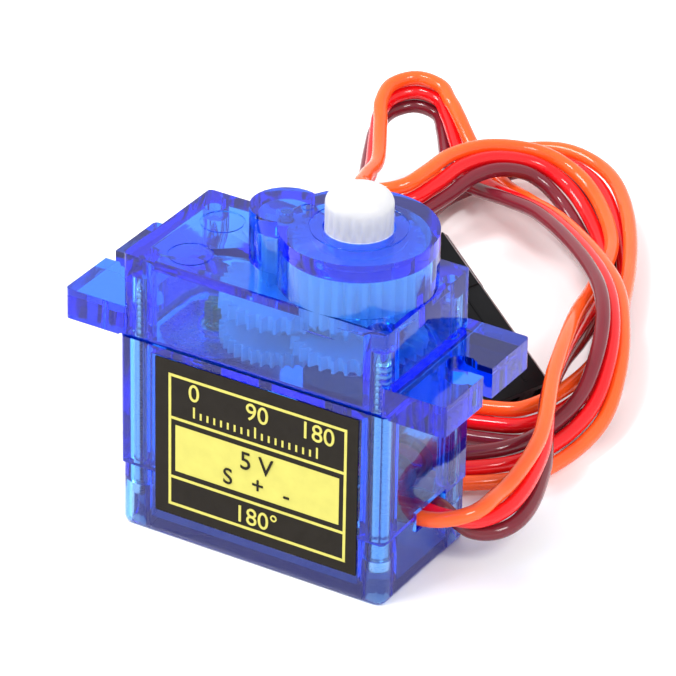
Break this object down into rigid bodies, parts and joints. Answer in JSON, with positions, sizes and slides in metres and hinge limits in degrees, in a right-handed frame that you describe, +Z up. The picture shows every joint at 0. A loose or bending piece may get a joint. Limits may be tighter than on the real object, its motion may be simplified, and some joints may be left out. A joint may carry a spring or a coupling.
{
  "type": "hobby servo motor",
  "caption": "Micro servo motor with a clear blue case, two slotted mounting ears, a splined output shaft and a three-wire lead ending in a flat connector.",
  "frame": {"origin": "centre of the case's bottom face, the face it stands on", "axes": "+X along the case towards the end with the output shaft and the lead, +Y to the plain side opposite the label, +Z up along the output shaft"},
  "size_m": [0.0416, 0.0638, 0.0299],
  "materials": {
    "clear_blue": "clear, glossy",
    "label": "printed film, satin",
    "steel": "bright zinc",
    "nylon": "translucent, satin",
    "brass": "satin",
    "motor_can": "satin",
    "copper": "satin",
    "ferrite": "matte",
    "laminations": "satin",
    "enamelled_copper": "glossy enamel",
    "black_plastic": "satin",
    "board": "satin",
    "capacitor": "matte",
    "inner_wire": "satin",
    "wire_orange": "glossy",
    "wire_red": "glossy",
    "wire_brown": "glossy"
  },
  "bodies": {
    "case": {"top_cover": "clear_blue", "middle_case": "clear_blue", "bottom_cover": "clear_blue", "front_label": "label", "case_screw_front_left": "steel", "case_screw_front_right": "steel", "case_screw_back_left": "steel", "case_screw_back_right": "steel", "idler_pin": "steel", "motor_can": "motor_can", "motor_bearing": "brass", "motor_end_cap": "nylon", "motor_terminal_front": "copper", "motor_terminal_back": "copper", "motor_brush_front": "copper", "motor_brush_back": "copper", "motor_magnet_front": "ferrite", "motor_magnet_back": "ferrite", "pot_housing": "black_plastic", "pot_element": "board", "pot_tab_1": "copper", "pot_tab_2": "copper", "pot_tab_3": "copper", "pot_lead_1": "inner_wire", "pot_lead_2": "inner_wire", "pot_lead_3": "inner_wire", "control_board": "board", "control_chip": "black_plastic", "smoothing_capacitor": "capacitor", "motor_lead_front": "inner_wire", "motor_lead_back": "inner_wire", "wire_orange": "wire_orange", "wire_red": "wire_red", "wire_brown": "wire_brown", "connector_housing": "black_plastic", "connector_contact_1": "brass", "connector_contact_2": "brass", "connector_contact_3": "brass"},
    "output": {"output_gear": "nylon", "pot_shaft": "nylon", "pot_wiper": "brass"},
    "third_reduction": {"third_gear": "nylon"},
    "second_reduction": {"second_gear": "nylon"},
    "first_reduction": {"first_gear": "nylon"},
    "rotor": {"motor_pinion": "brass", "motor_shaft": "steel", "armature_core": "laminations", "commutator": "copper", "armature_coil_1": "enamelled_copper", "armature_coil_2": "enamelled_copper", "armature_coil_3": "enamelled_copper"}
  },
  "joints": [
    {"name": "output_turn", "type": "hinge", "parent": "case", "child": "output", "pos_m": [0.0052, 0, 0.027], "axis": [0, 0, 1], "range_deg": [-90, 90]},
    {"name": "third_gear_turn", "type": "hinge", "parent": "case", "child": "third_reduction", "pos_m": [-0.0009, 0, 0.0225], "axis": [0, 0, 1], "range_deg": [-270, 270]},
    {"name": "second_gear_turn", "type": "hinge", "parent": "case", "child": "second_reduction", "pos_m": [0.0052, 0, 0.019], "axis": [0, 0, 1], "range_deg": [-810, 810]},
    {"name": "first_gear_turn", "type": "hinge", "parent": "case", "child": "first_reduction", "pos_m": [-0.0009, 0, 0.0175], "axis": [0, 0, 1], "range_deg": [-2430, 2430]},
    {"name": "rotor_turn", "type": "hinge", "parent": "case", "child": "rotor", "pos_m": [-0.0063, 0, 0.0115], "axis": [0, 0, 1], "range_deg": [-11240, 11240]}
  ],
  "couplings": [
    {"joint": "third_gear_turn", "follows": "output_turn", "ratio": -3},
    {"joint": "second_gear_turn", "follows": "output_turn", "ratio": 9},
    {"joint": "first_gear_turn", "follows": "output_turn", "ratio": -27},
    {"joint": "rotor_turn", "follows": "output_turn", "ratio": 124.88}
  ]
}
